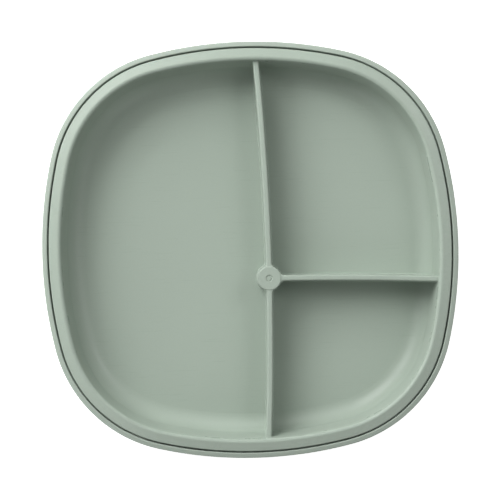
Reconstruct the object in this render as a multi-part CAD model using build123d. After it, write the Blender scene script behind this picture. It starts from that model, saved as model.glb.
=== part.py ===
from build123d import *
import math
import os

os.makedirs("parts", exist_ok=True)

# ---------------------------------------------------------------- driving sizes (mm)
# Plan outline: a soft square of eight tangent arcs. Every other outline is this
# one moved inwards by a distance d, which keeps all eight arcs tangent.
HALF = 105.0            # half width over the silicone bumper
R_SIDE = 210.0          # radius of each bowed side
R_CORNER = 68.6         # radius of each corner

# Heights
PRESS = 2.5             # how far the base presses down on its suction cup
LIP_TOP = 1.5           # top of the sealing lip where the skirt stands on it
BASE_UNDER = 7.4        # underside of the silicone base
BASE_T = 2.4            # silicone wall
PLATE_FOOT = 1.2        # height of the plate's foot ring
FLOOR_T = 2.2           # plate floor
PLATE_T = 2.4           # plate wall
BASE_FLOOR = BASE_UNDER + BASE_T              # 9.8
PLATE_UNDER = BASE_FLOOR + PLATE_FOOT         # 11.0
FLOOR_TOP = PLATE_UNDER + FLOOR_T             # 13.2
DIV_TOP = FLOOR_TOP + 21.0                    # 34.2, top of the dividers
HUB_TOP = DIV_TOP + 0.3                       # 34.5

# Plate section, d inwards from the outline
DRAFT = 8.0                                   # wall slope from upright
RIM_OUT = 3.5                                 # outer edge of the rim
RIM_SLOPE = 16.0                              # the rim face falls outwards
RIM_Z_OUT = FLOOR_TOP + 22.85                 # rim face, extended to its outer edge
RIM_IN = 9.45                                 # rim face meets the wall, before rounding
RIM_ROUND = 1.7                               # inner edge round
RIM_UNDER = FLOOR_TOP + 21.2                  # underside of the rim flange
RIM_LIP_W = 1.7                               # the flange turns down at its outer edge
RIM_LIP_Z = FLOOR_TOP + 19.7                  # bottom of that turned-down lip
FLOOR_R = 9.5                                 # wall runs into the floor
CORE = 36.0                                   # d of the flat middle

FOOT_D = 25.0                                 # foot ring under the plate
FOOT_W = 2.2

# Base section
GAP = 0.8                                     # open line between base and rim
FIT = 0.4                                     # clearance round the plate's wall
LEDGE = RIM_LIP_Z - 0.3                       # base ledge under the rim
EDGE_IN_R = 0.5                               # rounds of the base's upper edge
EDGE_OUT_R = 1.0
BUMPER_UNDER = LEDGE - 2.6                    # underside of the bumper

# Dividers
DIV_W = 2.9                                   # thickness at the top
DIV_DRAFT = 1.0
HUB = (9.25, -14.7)                           # where the three arms meet
HUB_R = 6.1
HUB_PAD_R = 6.05                              # raised pad on the hub
HUB_FLARE_R = 3.0                             # the arms flare into the hub
GATE_R = 1.9                                  # moulding gate dimple in the pad
GATE_DEPTH = 0.45
HUB_CORE_R = 3.3                              # the post is cored out from below
LONG_R = 1435.0                               # slight bow of the long divider
SHORT_R = 1500.0                              # slight bow of the short divider
ROOT_R = 0.5                                  # fillet at every divider root
TOP_R = 0.9                                   # round along the divider tops

# Suction cup
CUP_NECK = 61.0                               # skirt at the base
CUP_FOOT = 67.0                               # skirt at the lip
SKIRT_T = 2.2
LIP_IN = 63.5
LIP_OUT = 82.0
LIP_EDGE = 1.0                                # lip thickness at its outer edge

# Pull tab
TAB_ROOT_Y = -80.3
TAB_LEN = 15.5
TAB_ROOT_W = 30.0
TAB_W = 21.0
TAB_Z0 = 0.2

T = math.tan(math.radians(DRAFT))
COS = math.cos(math.radians(DRAFT))
K = R_SIDE - HALF
C_CORNER = (-K + math.sqrt(2 * (R_SIDE - R_CORNER) ** 2 - K ** 2)) / 2
A_SIDE = math.degrees(math.atan2(C_CORNER, C_CORNER + K))    # half the side arc


# ---------------------------------------------------------------- helpers
def rounded(points):
    """Closed wire through (x, y, r) corners, each rounded by r, as plane lines and arcs."""
    n = len(points)
    legs = []
    for i, (x, y, r) in enumerate(points):
        px, py, _ = points[i - 1]
        qx, qy, _ = points[(i + 1) % n]
        ax, ay = px - x, py - y
        bx, by = qx - x, qy - y
        la, lb = math.hypot(ax, ay), math.hypot(bx, by)
        ax, ay, bx, by = ax / la, ay / la, bx / lb, by / lb
        if r <= 0:
            legs.append(((x, y), None, (x, y)))
            continue
        half = math.acos(max(-1, min(1, ax * bx + ay * by))) / 2
        t = r / math.tan(half)
        mx, my = ax + bx, ay + by
        lm = math.hypot(mx, my)
        reach = r / math.sin(half)
        cx, cy = x + mx / lm * reach, y + my / lm * reach
        legs.append(((x + ax * t, y + ay * t),
                     (cx - mx / lm * r, cy - my / lm * r),
                     (x + bx * t, y + by * t)))
    edges = []
    for i, (a, m, b) in enumerate(legs):
        if m is not None:
            edges.append(ThreePointArc(a, m, b))
        c = legs[(i + 1) % n][0]
        if math.hypot(c[0] - b[0], c[1] - b[1]) > 1e-6:
            edges.append(Line(b, c))
    return Wire(edges)


def section(points):
    """A face in the XZ plane from (x, z, r) corners."""
    return Plane.XZ * Face(rounded(points))


def outline(d):
    """The plan outline moved inwards by d, as a face at z = 0."""
    edges = []
    for q in range(4):
        ca, sa = math.cos(math.radians(90 * q)), math.sin(math.radians(90 * q))

        def at(cx, cy, r, deg):
            x = cx + r * math.cos(math.radians(deg))
            y = cy + r * math.sin(math.radians(deg))
            return (x * ca - y * sa, x * sa + y * ca)

        rs, rc = R_SIDE - d, R_CORNER - d
        edges.append(ThreePointArc(at(-K, 0, rs, -A_SIDE), at(-K, 0, rs, 0), at(-K, 0, rs, A_SIDE)))
        edges.append(ThreePointArc(at(C_CORNER, C_CORNER, rc, A_SIDE),
                                   at(C_CORNER, C_CORNER, rc, 45),
                                   at(C_CORNER, C_CORNER, rc, 90 - A_SIDE)))
    return Face(Wire(edges))


def turned(points, z0, z1):
    """A body whose section (d, z, r) runs all round the outline, closed in the
    middle by a flat plate from z0 to z1. With z0 None there is no middle."""
    pieces = []
    for q in range(4):
        for cx, cy, r0, a0, a1 in ((-K, 0, R_SIDE, -A_SIDE, A_SIDE),
                                   (C_CORNER, C_CORNER, R_CORNER, A_SIDE, 90 - A_SIDE)):
            face = section([(r0 - d, z, r) for d, z, r in points])
            arc = revolve(face, Axis.Z, revolution_arc=a1 - a0)
            arc = Rot(0, 0, a0) * arc
            pieces.append(Rot(0, 0, 90 * q) * Pos(cx, cy, 0) * arc)
    if z0 is not None:
        pieces.append(Pos(0, 0, z0) * extrude(outline(CORE), z1 - z0))
    body = pieces[0]
    body = body.fuse(*pieces[1:])
    return body.clean()


def one(shape):
    """The single solid of a shape."""
    solids = shape.solids()
    assert len(solids) == 1, len(solids)
    return solids[0]


# ---------------------------------------------------------------- divided plate
rim_slope = math.tan(math.radians(RIM_SLOPE))
rim_z_in = RIM_Z_OUT + (RIM_IN - RIM_OUT) * rim_slope


def wall_d(z):
    """Inner face of the plate wall at height z."""
    return RIM_IN + (rim_z_in - z) * T


def plate_out_d(z):
    return wall_d(z) - PLATE_T / COS


plate_points = [
    (CORE, FLOOR_TOP, 0),
    (wall_d(FLOOR_TOP), FLOOR_TOP, FLOOR_R),
    (RIM_IN, rim_z_in, RIM_ROUND),
    (RIM_OUT, RIM_Z_OUT, 0.6),
    (RIM_OUT, RIM_LIP_Z, 0.35),
    (RIM_OUT + RIM_LIP_W, RIM_LIP_Z, 0.35),
    (RIM_OUT + RIM_LIP_W, RIM_UNDER, 0.4),
    (plate_out_d(RIM_UNDER), RIM_UNDER, 0.6),
    (plate_out_d(PLATE_UNDER), PLATE_UNDER, FLOOR_R + FLOOR_T),
    (CORE, PLATE_UNDER, 0),
]
shell = turned(plate_points, PLATE_UNDER, FLOOR_TOP)

# The inside of the plate out to the middle of its wall, which trims the dividers.
mid = 1.1
fill_points = [
    (CORE, FLOOR_TOP - mid, 0),
    (wall_d(FLOOR_TOP - mid) - mid / COS, FLOOR_TOP - mid, FLOOR_R + mid),
    (wall_d(DIV_TOP) - mid / COS, DIV_TOP, 0),
    (CORE, DIV_TOP, 0),
]
fill = turned(fill_points, FLOOR_TOP - mid, DIV_TOP)


def arm(radius, half_angle_lo, half_angle_hi, centre, turn):
    """A divider: its drafted section turned about a far upright axis."""
    h = DIV_TOP - (FLOOR_TOP - mid)
    w0 = DIV_W / 2
    w1 = w0 + h * math.tan(math.radians(DIV_DRAFT))
    face = section([(radius - w1, FLOOR_TOP - mid, 0), (radius + w1, FLOOR_TOP - mid, 0),
                    (radius + w0, DIV_TOP, 0), (radius - w0, DIV_TOP, 0)])
    body = revolve(face, Axis.Z, revolution_arc=half_angle_hi - half_angle_lo)
    return Pos(*centre, 0) * Rot(0, 0, turn + half_angle_lo) * body


long_half = math.degrees(100 / LONG_R)
long_arm = arm(LONG_R, -long_half, long_half + math.degrees(15 / LONG_R),
               (HUB[0] - LONG_R, HUB[1]), 0)
# The short arm bows towards +Y and ends inside the hub.
short_arm = arm(SHORT_R, math.degrees(-95 / SHORT_R), 0,
                (HUB[0], HUB[1] - SHORT_R), 90)
hub_h = DIV_TOP - (FLOOR_TOP - mid)
hub_post = Pos(HUB[0], HUB[1], FLOOR_TOP - mid) * extrude(
    Face(Wire(Edge.make_circle(HUB_R + hub_h * math.tan(math.radians(DIV_DRAFT))))), hub_h, taper=DIV_DRAFT)

walls = long_arm.fuse(short_arm, hub_post).clean()
walls = (walls & fill)
plate = one(shell.fuse(*walls.solids()).clean())


def stands(face):
    """True for the upright faces of the dividers and the hub post."""
    c = face.position_at(0.5, 0.5)
    if abs(face.normal_at(c).Z) > 0.05 or not FLOOR_TOP + 0.5 < c.Z < DIV_TOP - 0.2:
        return False
    to_long = abs(math.hypot(c.X - (HUB[0] - LONG_R), c.Y - HUB[1]) - LONG_R)
    to_short = abs(math.hypot(c.X - HUB[0], c.Y - (HUB[1] - SHORT_R)) - SHORT_R)
    to_hub = math.hypot(c.X - HUB[0], c.Y - HUB[1])
    return to_long < 2.2 or (to_short < 2.2 and c.X > HUB[0]) or to_hub < 9


def on_top(edge):
    return all(abs(edge.position_at(u).Z - DIV_TOP) < 1e-3 for u in (0.0, 0.5, 1.0))


def name_of(edge):
    c = edge.center()
    return (round(c.X, 3), round(c.Y, 3), round(c.Z, 3), round(edge.length, 3))


# The arms flare into the hub.
corners = {}
for e in plate.edges():
    a, b = e.position_at(0), e.position_at(1)
    if (abs(b.Z - a.Z) > 15 and max(a.Z, b.Z) > DIV_TOP - 1e-3
            and abs(math.hypot(e.center().X - HUB[0], e.center().Y - HUB[1]) - HUB_R) < 0.8):
        corners[name_of(e)] = e
assert len(corners) == 6, len(corners)
plate = one(plate.fillet(HUB_FLARE_R, list(corners.values())))

# Fillets where the dividers and hub stand on the floor and the wall.
roots = {}
for f in plate.faces():
    if stands(f):
        for e in f.edges():
            if not on_top(e):
                roots[name_of(e)] = e
plate = one(plate.fillet(ROOT_R, list(roots.values())))

# Rounds along the divider tops, the flares at their ends and the hub.
crown = [f for f in plate.faces()
         if f.geom_type == GeomType.PLANE and abs(f.center().Z - DIV_TOP) < 1e-3
         and f.normal_at(f.center()).Z > 0.9]
assert len(crown) == 1, len(crown)
wall_line = HALF - wall_d(DIV_TOP)


def on_wall(edge):
    """True for the short edges where an arm's top runs into the plate wall."""
    m = edge.position_at(0.5)
    return edge.length < 8 and abs(max(abs(m.X), abs(m.Y)) - wall_line) < 1.0


plate = one(plate.fillet(TOP_R, [e for e in crown[0].edges() if not on_wall(e)]))

# The hub's pad, its gate dimple with a small pip, and the core below.
pad = section([(0, DIV_TOP - 1, 0), (HUB_PAD_R + 0.1, DIV_TOP - 1, 0),
               (HUB_PAD_R, HUB_TOP, 0.6), (0, HUB_TOP, 0)])
dimple = section([(0.75, HUB_TOP + 0.2, 0), (0.9, HUB_TOP - GATE_DEPTH, 0.12),
                  (GATE_R - 0.45, HUB_TOP - GATE_DEPTH, 0.2), (GATE_R + 0.1, HUB_TOP + 0.2, 0)])
pip = section([(0, HUB_TOP - 0.12, 0), (0.95, HUB_TOP - 0.12, 0), (0.95, HUB_TOP + 0.2, 0),
               (0, HUB_TOP + 0.2, 0)])
core = section([(0, PLATE_UNDER - 0.5, 0), (HUB_CORE_R, PLATE_UNDER - 0.5, 0),
                (HUB_CORE_R - 0.7, DIV_TOP - 2.5, 1.2), (0, DIV_TOP - 2.5, 0)])
at_hub = Pos(HUB[0], HUB[1], 0)
plate = plate + at_hub * revolve(pad, Axis.Z, revolution_arc=360)
plate = plate - at_hub * revolve(dimple, Axis.Z, revolution_arc=360)
plate = plate - at_hub * revolve(pip, Axis.Z, revolution_arc=360)
plate = plate - at_hub * revolve(core, Axis.Z, revolution_arc=360)

# Foot ring.
foot = turned([(FOOT_D, PLATE_UNDER + 0.6, 0), (FOOT_D, BASE_FLOOR, 0.5),
               (FOOT_D + FOOT_W, BASE_FLOOR, 0.5), (FOOT_D + FOOT_W, PLATE_UNDER + 0.6, 0)],
              None, None)
divided_plate = one(plate + foot)

# ---------------------------------------------------------------- silicone base


def base_in_d(z):
    return plate_out_d(z) - FIT / COS


def base_out_d(z):
    return base_in_d(z) - BASE_T / COS


base_points = [
    (CORE, BASE_FLOOR, 0),
    (base_in_d(BASE_FLOOR), BASE_FLOOR, FLOOR_R + FLOOR_T + 0.5),
    (base_in_d(LEDGE), LEDGE, 0.6),
    (RIM_OUT - GAP, LEDGE, 0.4),
    (RIM_OUT - GAP, RIM_Z_OUT - GAP * rim_slope, EDGE_IN_R),
    (0, RIM_Z_OUT - RIM_OUT * rim_slope, EDGE_OUT_R),
    (0, BUMPER_UNDER, 1.0),
    (base_out_d(BUMPER_UNDER), BUMPER_UNDER, 1.8),
    (base_out_d(BASE_UNDER), BASE_UNDER, FLOOR_R + FLOOR_T + 0.5 + BASE_T),
    (CORE, BASE_UNDER, 0),
]
base_sleeve = one(turned(base_points, BASE_UNDER, BASE_FLOOR))

suction_skirt = one(revolve(section([(CUP_NECK, BASE_UNDER, 0), (CUP_FOOT, LIP_TOP, 0),
                                     (CUP_FOOT + SKIRT_T, LIP_TOP, 0),
                                     (CUP_NECK + SKIRT_T, BASE_UNDER, 0)]),
                            Axis.Z, revolution_arc=360))

lip = revolve(section([(LIP_IN, 0, 0.3), (LIP_OUT, 0, 0.2), (LIP_OUT, LIP_EDGE, 0.4),
                       (CUP_FOOT + SKIRT_T + 1.5, LIP_TOP, 2.0), (LIP_IN, LIP_TOP, 0.5)]),
              Axis.Z, revolution_arc=360)
# The lip is cut straight where the tab leaves it.
suction_lip = one(lip - Pos(0, TAB_ROOT_Y - 10, 0) * Box(60, 20, 20))

tab_plan = Face(rounded([(-TAB_ROOT_W / 2, TAB_ROOT_Y, 0), (-TAB_W / 2, TAB_ROOT_Y - 5, 6),
                         (-TAB_W / 2, TAB_ROOT_Y - TAB_LEN, 8.5),
                         (TAB_W / 2, TAB_ROOT_Y - TAB_LEN, 8.5),
                         (TAB_W / 2, TAB_ROOT_Y - 5, 6), (TAB_ROOT_W / 2, TAB_ROOT_Y, 0)]))
tab = Pos(0, 0, TAB_Z0) * extrude(tab_plan, LIP_TOP - TAB_Z0)
for i in range(3):
    rib = SlotOverall(11.0 - 1.5 * i, 1.3)
    tab += Pos(0, TAB_ROOT_Y - 6.5 - 2.7 * i, LIP_TOP - 0.2) * extrude(rib, 0.55)
release_tab = one(tab)

# ---------------------------------------------------------------- sub-parts
for node, shape in (("divided_plate", divided_plate), ("base_sleeve", base_sleeve),
                    ("suction_skirt", suction_skirt), ("suction_lip", suction_lip),
                    ("release_tab", release_tab)):
    export_step(shape, f"parts/{node}.step")
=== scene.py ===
import math

import bpy
import bmesh
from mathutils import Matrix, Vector


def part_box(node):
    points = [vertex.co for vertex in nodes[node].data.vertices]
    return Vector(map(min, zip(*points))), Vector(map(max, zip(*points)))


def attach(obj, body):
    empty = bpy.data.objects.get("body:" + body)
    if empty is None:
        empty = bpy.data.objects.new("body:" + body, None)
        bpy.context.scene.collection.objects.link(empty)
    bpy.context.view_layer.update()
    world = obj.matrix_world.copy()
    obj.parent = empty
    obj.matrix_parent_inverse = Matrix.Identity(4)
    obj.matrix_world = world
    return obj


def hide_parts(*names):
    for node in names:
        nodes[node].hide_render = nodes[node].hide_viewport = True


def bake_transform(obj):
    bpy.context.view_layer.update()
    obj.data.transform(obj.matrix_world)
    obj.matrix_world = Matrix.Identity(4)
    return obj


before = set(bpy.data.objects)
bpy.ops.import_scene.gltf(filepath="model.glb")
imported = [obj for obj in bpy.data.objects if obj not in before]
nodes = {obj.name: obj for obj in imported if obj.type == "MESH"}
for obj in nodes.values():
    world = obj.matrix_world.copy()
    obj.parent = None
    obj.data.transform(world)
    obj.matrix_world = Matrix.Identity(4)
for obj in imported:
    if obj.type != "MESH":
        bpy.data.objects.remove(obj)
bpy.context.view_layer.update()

scene = bpy.context.scene
scene.view_settings.view_transform = "Standard"
scene.view_settings.look = "None"

MM = 0.001

# ------------------------------------------------------------------ camera
MM_PER_PX = 0.5046
DIST = 1.40
cam_data = bpy.data.cameras.new("cam")
cam_data.sensor_width = 36.0
cam_data.lens = 36.0 * (DIST - 0.033) / (500 * MM_PER_PX * MM)
cam_data.clip_start = 0.05
cam = bpy.data.objects.new("cam", cam_data)
scene.collection.objects.link(cam)
cam.location = (-0.26 * MM_PER_PX * MM, -0.36 * MM_PER_PX * MM, DIST)
cam.rotation_euler = (0.0, 0.0, math.radians(-1.45))
scene.camera = cam

# ------------------------------------------------------------------ sizes (mm)
# The same sections as the CAD, with heights and widths read from the frame.
s_lo, s_hi = [[v / MM for v in p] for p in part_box("base_sleeve")]
k_lo, k_hi = [[v / MM for v in p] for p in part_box("suction_skirt")]
l_lo, l_hi = [[v / MM for v in p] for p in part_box("suction_lip")]
t_lo, t_hi = [[v / MM for v in p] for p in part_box("release_tab")]
HALF = round(s_hi[0], 2)
R_SIDE, R_CORNER = 210.0, 68.6
K = R_SIDE - HALF
CC = (-K + math.sqrt(2 * (R_SIDE - R_CORNER) ** 2 - K ** 2)) / 2
A_SIDE = math.atan2(CC, CC + K)
UNDER = round(s_lo[2], 2)          # underside of the base
WALL = 2.4
FLOOR = UNDER + WALL               # top of the base's floor
LIP_TOP = round(k_lo[2], 2)
LIP_OUT = round(l_hi[0], 2)
TAB_Y = round(t_hi[1], 2)
T = math.tan(math.radians(8.0))
COS = math.cos(math.radians(8.0))
SLOPE = math.tan(math.radians(16.0))
FLOOR_TOP = FLOOR + 3.4
RIM_Z = FLOOR_TOP + 22.85
RIM_IN, RIM_OUT, GAP = 9.45, 3.5, 0.8
LEDGE = FLOOR_TOP + 19.7 - 0.3
BUMPER = LEDGE - 2.6
CORE = 36.0


def base_in(z):
    return RIM_IN + (RIM_Z + (RIM_IN - RIM_OUT) * SLOPE - z) * T - 2.4 / COS - 0.4 / COS


def base_out(z):
    return base_in(z) - WALL / COS


# ------------------------------------------------------------------ mesh helpers
def rounded(points, closed=True, fine=1.0):
    """Corners (x, y, r) as a polyline with each corner rounded by r."""
    out = []
    n = len(points)
    for i, (x, y, r) in enumerate(points):
        if r <= 0 or (not closed and i in (0, n - 1)):
            out.append((x, y))
            continue
        px, py, _ = points[i - 1]
        qx, qy, _ = points[(i + 1) % n]
        ax, ay, bx, by = px - x, py - y, qx - x, qy - y
        la, lb = math.hypot(ax, ay), math.hypot(bx, by)
        ax, ay, bx, by = ax / la, ay / la, bx / lb, by / lb
        half = math.acos(max(-1, min(1, ax * bx + ay * by))) / 2
        t = r / math.tan(half)
        mx, my = ax + bx, ay + by
        lm = math.hypot(mx, my)
        cx, cy = x + mx / lm * r / math.sin(half), y + my / lm * r / math.sin(half)
        a0 = math.atan2(y + ay * t - cy, x + ax * t - cx)
        a1 = math.atan2(y + by * t - cy, x + bx * t - cx)
        d = (a1 - a0 + math.pi) % (2 * math.pi) - math.pi
        steps = max(6, int(abs(d) * (5 + 3.2 * math.sqrt(r)) * fine))
        for k in range(steps + 1):
            a = a0 + d * k / steps
            out.append((cx + r * math.cos(a), cy + r * math.sin(a)))
    return out


def split_long(line, step, closed=True):
    """Adds points so that no leg of the polyline is longer than step."""
    out = []
    n = len(line)
    for i, p in enumerate(line):
        out.append(p)
        if not closed and i == n - 1:
            break
        q = line[(i + 1) % n]
        m = int(math.hypot(q[0] - p[0], q[1] - p[1]) / step)
        for k in range(1, m + 1):
            f = k / (m + 1)
            out.append((p[0] + (q[0] - p[0]) * f, p[1] + (q[1] - p[1]) * f))
    return out


ARCS = []
for q in range(4):
    for ccx, ccy, rr, a0, a1 in ((-K, 0.0, R_SIDE, -A_SIDE, A_SIDE), (CC, CC, R_CORNER, A_SIDE, math.pi / 2 - A_SIDE)):
        ARCS.append((q, ccx, ccy, rr, a0, a1))


def outline_params(n_side, n_corner):
    out = []
    for q, ccx, ccy, rr, a0, a1 in ARCS:
        n = n_side if rr == R_SIDE else n_corner
        for k in range(n):
            out.append((q, ccx, ccy, rr, a0 + (a1 - a0) * k / n))
    return out


def outline_point(param, d):
    q, ccx, ccy, rr, a = param
    x, y = ccx + (rr - d) * math.cos(a), ccy + (rr - d) * math.sin(a)
    c, s = (1, 0, -1, 0)[q], (0, 1, 0, -1)[q]
    return x * c - y * s, x * s + y * c


def make(name, verts, faces, mat):
    me = bpy.data.meshes.new(name)
    me.from_pydata([(x * MM, y * MM, z * MM) for x, y, z in verts], [], faces)
    me.validate()
    bm = bmesh.new()
    bm.from_mesh(me)
    bmesh.ops.remove_doubles(bm, verts=bm.verts, dist=1e-7)
    bmesh.ops.recalc_face_normals(bm, faces=bm.faces)
    bm.to_mesh(me)
    bm.free()
    me.shade_smooth()
    me.set_sharp_from_angle(angle=math.radians(40))
    me.materials.append(mat)
    ob = bpy.data.objects.new(name, me)
    scene.collection.objects.link(ob)
    return ob


def noise(nt, coord, scale, detail=2.0, rough=0.5):
    n = nt.nodes.new("ShaderNodeTexNoise")
    n.inputs["Scale"].default_value = scale
    n.inputs["Detail"].default_value = detail
    n.inputs["Roughness"].default_value = rough
    nt.links.new(coord, n.inputs["Vector"])
    return n.outputs["Fac"]


def ramped(nt, value, lo_in, hi_in, lo_out, hi_out):
    n = nt.nodes.new("ShaderNodeMapRange")
    n.inputs["From Min"].default_value = lo_in
    n.inputs["From Max"].default_value = hi_in
    n.inputs["To Min"].default_value = lo_out
    n.inputs["To Max"].default_value = hi_out
    nt.links.new(value, n.inputs["Value"])
    return n.outputs["Result"]


def math_node(nt, op, a, b):
    n = nt.nodes.new("ShaderNodeMath")
    n.operation = op
    for i, v in enumerate((a, b)):
        if isinstance(v, (int, float)):
            n.inputs[i].default_value = v
        else:
            nt.links.new(v, n.inputs[i])
    return n.outputs[0]


def mix_colour(nt, fac, a, b, mode="MIX"):
    n = nt.nodes.new("ShaderNodeMix")
    n.data_type = "RGBA"
    n.blend_type = mode
    if isinstance(fac, (int, float)):
        n.inputs["Factor"].default_value = fac
    else:
        nt.links.new(fac, n.inputs["Factor"])
    for key, v in (("A", a), ("B", b)):
        s = [i for i in n.inputs if i.name == key and i.type == "RGBA"][0]
        if isinstance(v, tuple):
            s.default_value = (*v, 1)
        else:
            nt.links.new(v, s)
    return [o for o in n.outputs if o.type == "RGBA"][0]


# ------------------------------------------------------------------ materials
def new_material(name):
    m = bpy.data.materials.new(name)
    m.use_nodes = True
    nt = m.node_tree
    nt.nodes.clear()
    out = nt.nodes.new("ShaderNodeOutputMaterial")
    p = nt.nodes.new("ShaderNodeBsdfPrincipled")
    nt.links.new(p.outputs[0], out.inputs[0])
    co = nt.nodes.new("ShaderNodeTexCoord").outputs["Object"]
    sep = nt.nodes.new("ShaderNodeSeparateXYZ")
    nt.links.new(co, sep.inputs[0])
    return m, nt, p, co, sep.outputs["Z"]


def plate_plastic(colour):
    """Satin polypropylene: slow drift of pigment, fine spark-eroded grain,
    crests burnished smoother by stacking, and faint rubbed marks from spoons."""
    m, nt, p, co, z = new_material("plate_plastic")
    drift = ramped(nt, noise(nt, co, 11.0, 3.0), 0.3, 0.7, 0.0, 1.0)
    c = mix_colour(nt, drift, tuple(v * 0.978 for v in colour), tuple(v * 1.018 for v in colour))
    flecks = ramped(nt, noise(nt, co, 1500.0, 2.0, 0.6), 0.42, 0.58, 0.0, 1.0)
    c = mix_colour(nt, math_node(nt, "MULTIPLY", flecks, 0.05), c, tuple(v * 1.35 for v in colour))
    # the highest 2 mm of the rim and dividers are rubbed a little paler and smoother
    crest = ramped(nt, z, (FLOOR_TOP + 19.6) * MM, (FLOOR_TOP + 21.4) * MM, 0.0, 1.0)
    rub = math_node(nt, "MULTIPLY", crest, ramped(nt, noise(nt, co, 260.0, 3.0), 0.35, 0.65, 0.25, 1.0))
    c = mix_colour(nt, math_node(nt, "MULTIPLY", rub, 0.05), c, tuple(min(1, v * 1.5) for v in colour))
    nt.links.new(c, p.inputs["Base Color"])
    # roughness
    r = ramped(nt, noise(nt, co, 75.0, 4.0), 0.3, 0.7, PLATE_ROUGH - 0.03, PLATE_ROUGH + 0.04)
    r = math_node(nt, "SUBTRACT", r, math_node(nt, "MULTIPLY", rub, 0.05))
    # short fine rubs on the floors: stretched noise, three directions
    total = None
    for turn, sc in ((0.4, 1.0), (1.7, 1.3), (2.6, 0.8)):
        mp = nt.nodes.new("ShaderNodeMapping")
        mp.inputs["Rotation"].default_value = (0, 0, turn)
        mp.inputs["Scale"].default_value = (40 * sc, 1700 * sc, 40)
        nt.links.new(co, mp.inputs["Vector"])
        line = ramped(nt, noise(nt, mp.outputs[0], 1.0, 1.0), 0.68, 0.74, 0.0, 1.0)
        total = line if total is None else math_node(nt, "MAXIMUM", total, line)
    on_floor = ramped(nt, z, (FLOOR_TOP + 0.3) * MM, (FLOOR_TOP + 2.5) * MM, 1.0, 0.0)
    marks = math_node(nt, "MULTIPLY", total, on_floor)
    r = math_node(nt, "SUBTRACT", r, math_node(nt, "MULTIPLY", marks, 0.06))
    nt.links.new(r, p.inputs["Roughness"])
    # spark-eroded grain and the very slight wave of a moulded wall
    grain = math_node(nt, "ADD", noise(nt, co, 2400.0, 2.0, 0.6),
                      math_node(nt, "MULTIPLY", noise(nt, co, 700.0, 2.0), 0.5))
    b = nt.nodes.new("ShaderNodeBump")
    b.inputs["Strength"].default_value = 0.5
    b.inputs["Distance"].default_value = 12e-6
    nt.links.new(grain, b.inputs["Height"])
    b2 = nt.nodes.new("ShaderNodeBump")
    b2.inputs["Strength"].default_value = 0.6
    b2.inputs["Distance"].default_value = 60e-6
    nt.links.new(noise(nt, co, 45.0, 1.0), b2.inputs["Height"])
    nt.links.new(b2.outputs[0], b.inputs["Normal"])
    nt.links.new(b.outputs[0], p.inputs["Normal"])
    p.inputs["IOR"].default_value = 1.49
    p.inputs["Specular IOR Level"].default_value = 0.24
    return m


def base_silicone(colour):
    """Matte food-grade silicone: velvety, with a little lint
    and handling polish along the outer edge."""
    m, nt, p, co, z = new_material("base_silicone")
    drift = ramped(nt, noise(nt, co, 16.0, 3.0), 0.3, 0.7, 0.0, 1.0)
    c = mix_colour(nt, drift, tuple(v * 0.97 for v in colour), tuple(v * 1.02 for v in colour))
    mottle = ramped(nt, noise(nt, co, 420.0, 3.0, 0.65), 0.35, 0.65, 0.0, 1.0)
    c = mix_colour(nt, math_node(nt, "MULTIPLY", mottle, 0.05), c, tuple(v * 0.8 for v in colour))
    lint = ramped(nt, noise(nt, co, 900.0, 1.0), 0.73, 0.78, 0.0, 1.0)
    c = mix_colour(nt, math_node(nt, "MULTIPLY", lint, 0.16), c, (0.62, 0.66, 0.61))
    nt.links.new(c, p.inputs["Base Color"])
    edge = ramped(nt, z, (LEDGE - 2.0) * MM, (LEDGE + 1.5) * MM, 0.0, 1.0)
    r = ramped(nt, noise(nt, co, 110.0, 4.0), 0.3, 0.7, BASE_ROUGH - 0.04, BASE_ROUGH + 0.05)
    r = math_node(nt, "SUBTRACT", r, math_node(nt, "MULTIPLY", edge, 0.05))
    nt.links.new(r, p.inputs["Roughness"])
    b = nt.nodes.new("ShaderNodeBump")
    b.inputs["Strength"].default_value = 0.5
    b.inputs["Distance"].default_value = 16e-6
    grain = math_node(nt, "ADD", noise(nt, co, 1900.0, 2.0, 0.6),
                      math_node(nt, "MULTIPLY", noise(nt, co, 500.0, 2.0), 0.8))
    nt.links.new(grain, b.inputs["Height"])
    b2 = nt.nodes.new("ShaderNodeBump")
    b2.inputs["Strength"].default_value = 0.6
    b2.inputs["Distance"].default_value = 90e-6
    nt.links.new(noise(nt, co, 38.0, 1.0), b2.inputs["Height"])
    nt.links.new(b2.outputs[0], b.inputs["Normal"])
    nt.links.new(b.outputs[0], p.inputs["Normal"])
    p.inputs["IOR"].default_value = 1.43
    p.inputs["Sheen Weight"].default_value = 0.12
    p.inputs["Sheen Roughness"].default_value = 0.5
    return m


SAGE = (0.343, 0.404, 0.346)
PLATE_ROUGH = 0.32
BASE_ROUGH = 0.58
mat_plate = plate_plastic(SAGE)
mat_base = base_silicone(tuple(c * 0.98 for c in SAGE))

plate = nodes["divided_plate"]
plate.data.materials.clear()
plate.data.materials.append(mat_plate)

# ------------------------------------------------------------------ silicone sleeve
section = rounded([
    (CORE, FLOOR, 0),
    (base_in(FLOOR), FLOOR, 12.2),
    (base_in(LEDGE), LEDGE, 0.6),
    (RIM_OUT - GAP, LEDGE, 0.4),
    (RIM_OUT - GAP, RIM_Z - GAP * SLOPE, 0.5),
    (0.0, RIM_Z - RIM_OUT * SLOPE, 1.0),
    (0.0, BUMPER, 1.0),
    (base_out(BUMPER), BUMPER, 1.8),
    (base_out(UNDER), UNDER, 12.2 + WALL),
    (CORE, UNDER, 0),
], closed=False)
section = split_long(section, 3.0, closed=False)
params = outline_params(56, 44)
n_round = len(params)
verts, faces = [], []
for d, z in section:
    verts += [(*outline_point(pr, d), z) for pr in params]
for i in range(len(section) - 1):
    for k in range(n_round):
        k2 = (k + 1) % n_round
        faces.append((i * n_round + k, i * n_round + k2, (i + 1) * n_round + k2, (i + 1) * n_round + k))


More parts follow.
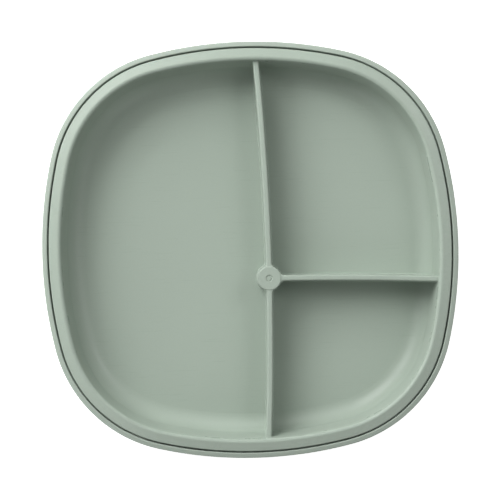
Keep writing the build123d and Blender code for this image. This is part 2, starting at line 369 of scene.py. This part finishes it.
def close_middle(ring_start, z):
    """Fills a flat middle with shrinking rings and a small fan."""
    last = ring_start
    base_ring = [verts[ring_start + k] for k in range(n_round)]
    for f in (0.86, 0.72, 0.58, 0.44, 0.3, 0.16):
        start = len(verts)
        for x, y, _ in base_ring:
            ang = math.atan2(y, x)
            rad = math.hypot(x, y) * f
            mean = (CUP_MEAN * f) * (1 - f) + rad * f
            verts.append((mean * math.cos(ang), mean * math.sin(ang), z))
        for k in range(n_round):
            k2 = (k + 1) % n_round
            faces.append((last + k, last + k2, start + k2, start + k))
        last = start
    verts.append((0, 0, z))
    for k in range(n_round):
        faces.append((last + k, last + (k + 1) % n_round, len(verts) - 1))


CUP_MEAN = 72.0
close_middle(0, FLOOR)
close_middle((len(section) - 1) * n_round, UNDER)
sleeve = make("silicone_sleeve", verts, faces, mat_base)
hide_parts("base_sleeve")
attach(sleeve, "base")

# ------------------------------------------------------------------ suction cup
NECK, FOOT, SKIRT = round(k_hi[0], 2), 67.0, 2.2
NECK_IN = 61.0
cup = rounded([
    (63.5, 0.0, 0.3),
    (LIP_OUT, 0.0, 0.2),
    (LIP_OUT, 1.0, 0.4),
    (70.9, LIP_TOP, 1.2),
    (FOOT + SKIRT, LIP_TOP, 0.7),
    (NECK_IN + SKIRT, UNDER - 0.02, 1.3),
    (NECK_IN + SKIRT + 2.2, UNDER - 0.02, 0.0),
    (NECK_IN + SKIRT + 2.2, UNDER + 0.5, 0.0),
    (NECK_IN - 2.2, UNDER + 0.5, 0.0),
    (NECK_IN - 2.2, UNDER - 0.02, 0.0),
    (NECK_IN, UNDER - 0.02, 1.3),
    (FOOT, LIP_TOP, 0.9),
    (63.5, LIP_TOP, 0.5),
])
cup = split_long(cup, 1.6)
N = 420
verts, faces = [], []
for k in range(N):
    phi = 2 * math.pi * k / N
    c = -math.sin(phi)
    r_out = -TAB_Y / c if LIP_OUT * c > -TAB_Y else LIP_OUT
    for r, z in cup:
        # the lip is cut straight where the tab leaves it
        rr = r if r <= 74 else 74 + (r - 74) * (r_out - 74) / (LIP_OUT - 74)
        verts.append((rr * math.cos(phi), rr * math.sin(phi), z))
m = len(cup)
for k in range(N):
    for i in range(m):
        a, b = k * m, (k + 1) % N * m
        j = (i + 1) % m
        faces.append((a + i, b + i, b + j, a + j))
cup_piece = make("suction_cup", verts, faces, mat_base)
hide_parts("suction_skirt", "suction_lip")
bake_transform(cup_piece)

# ------------------------------------------------------------------ release tab
TAB_LEN = 15.5
TAB_Z0, TAB_TOP = round(t_lo[2], 2), LIP_TOP


def tab_half(s):
    if s < 6.5:
        return 10.5 + 4.5 * (1 - max(s, 0.0) / 6.5) ** 2
    if s < 7.0:
        return 10.5
    return 2.0 + math.sqrt(max(0.0, 8.5 ** 2 - (s - 7.0) ** 2))


def smooth(t):
    t = max(0.0, min(1.0, t))
    return t * t * (3 - 2 * t)


def rib_height(x, s):
    h = 0.0
    for i in range(3):
        half = (11.0 - 1.5 * i - 1.3) / 2
        dx = max(0.0, abs(x) - half)
        dy = s - (6.5 + 2.7 * i)
        d = math.hypot(dx, dy)
        if d < 0.65:
            h = max(h, 0.35 * math.sqrt(1 - (d / 0.65) ** 2))
    return h


rim_points = [(tab_half(TAB_LEN * k / 400), TAB_LEN * k / 400) for k in range(401)]


def to_edge(x, s):
    """Distance from a point of the plan to the tab's free edge."""
    x = abs(x)
    d = TAB_LEN - s
    for px, ps in rim_points:
        if abs(ps - s) < d:
            d = min(d, math.hypot(px - x, ps - s))
    return max(0.0, d)


rows = [-0.8, -0.55, -0.4, -0.2] + [0.14 * k for k in range(93)]
last_part = TAB_LEN - rows[-1]
rows += [rows[-1] + last_part * math.sin(math.pi / 2 * k / 22) for k in range(1, 23)]
cols = []
for k in range(-40, 41):
    u = k / 40
    cols.append(math.copysign(1 - (1 - abs(u)) ** 1.7, u))
verts, faces = [], []
n_cols = len(cols)
for side in (1, -1):
    for s in rows:
        w = tab_half(s) if s > 0 else tab_half(0)
        crest = 0.95 + 0.09 * smooth((s + 0.8) / 0.4) + (TAB_TOP - 1.04) * smooth((s + 0.4) / 3.8)
        for u in cols:
            x = u * w
            d = to_edge(x, s) if s > 0 else (1 - abs(u)) * w
            if side > 0:
                e = max(0.0, 0.5 - d)
                z = crest - (0.5 - math.sqrt(0.25 - e * e)) + rib_height(x, s)
            else:
                e = max(0.0, 0.3 - d)
                z = TAB_Z0 + (0.3 - math.sqrt(0.09 - e * e))
            verts.append((x, TAB_Y - s, z))
half_n = len(rows) * n_cols
for i in range(len(rows) - 1):
    for j in range(n_cols - 1):
        a = i * n_cols + j
        faces.append((a, a + 1, a + n_cols + 1, a + n_cols))
        faces.append((half_n + a, half_n + a + n_cols, half_n + a + n_cols + 1, half_n + a + 1))
for i in range(len(rows) - 1):
    for j in (0, n_cols - 1):
        a, b = i * n_cols + j, (i + 1) * n_cols + j
        faces.append((a, b, half_n + b, half_n + a))
for j in range(n_cols - 1):
    for i in (0, len(rows) - 1):
        a = i * n_cols + j
        faces.append((a, a + 1, half_n + a + 1, half_n + a))
tab_piece = make("pull_tab", verts, faces, mat_base)
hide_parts("release_tab")
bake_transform(tab_piece)

# ------------------------------------------------------------------ stage
fm = bpy.data.materials.new("floor")
fm.use_nodes = True
ft = fm.node_tree
fp = ft.nodes["Principled BSDF"]
fp.inputs["Base Color"].default_value = (0.9, 0.9, 0.9, 1)
fp.inputs["Roughness"].default_value = 0.8
fp.inputs["Emission Color"].default_value = (1, 1, 1, 1)
fp.inputs["Emission Strength"].default_value = 0.72
# the sheet of paper is one-sided, so that the underside can be seen through it from below
see = ft.nodes.new("ShaderNodeBsdfTransparent")
both = ft.nodes.new("ShaderNodeMixShader")
ft.links.new(ft.nodes.new("ShaderNodeNewGeometry").outputs["Backfacing"], both.inputs[0])
ft.links.new(fp.outputs[0], both.inputs[1])
ft.links.new(see.outputs[0], both.inputs[2])
ft.links.new(both.outputs[0], ft.nodes["Material Output"].inputs["Surface"])
# one single triangle, so that no join runs under the object
me = bpy.data.meshes.new("floor")
me.from_pydata([(0, 48.0, 0), (-42.0, -24.0, 0), (42.0, -24.0, 0)], [], [(0, 1, 2)])
floor = bpy.data.objects.new("floor", me)
floor.location = (0, 0, -0.0002)
me.materials.append(fm)
scene.collection.objects.link(floor)

world = bpy.data.worlds.new("world")
scene.world = world
world.use_nodes = True
world.node_tree.nodes["Background"].inputs[0].default_value = (1, 1, 1, 1)
world.node_tree.nodes["Background"].inputs[1].default_value = 0.12


def softbox(az, el, power, dist=1.5, size=0.5):
    d = bpy.data.lights.new(f"soft_{az}_{el}", "AREA")
    d.shape = "SQUARE"
    d.size = size
    d.energy = power
    o = bpy.data.objects.new(d.name, d)
    scene.collection.objects.link(o)
    a, e = math.radians(az), math.radians(el)
    p = Vector((math.cos(a) * math.cos(e), math.sin(a) * math.cos(e), math.sin(e))) * dist
    o.location = p
    o.rotation_euler = (-p).to_track_quat("-Z", "Y").to_euler()
    return o


# A broad soft key bank at the upper left, a weaker one at the upper right, and
# small fills all round: (direction round from +X, height, watts).
for az, el, power in (
        (120, 10, 2.1), (180, 10, 3.9), (90, 25, 2.8), (120, 25, 3.6), (150, 25, 2.8), (120, 40, 6.2), (150, 40, 6.5),
        (120, 55, 3.1), (150, 55, 1.2), (30, 55, 3.6), (0, 40, 1.7), (60, 40, 0.3),
        (240, 25, 0.95), (240, 40, 1.25), (300, 40, 0.95)):
    softbox(az, el, power)
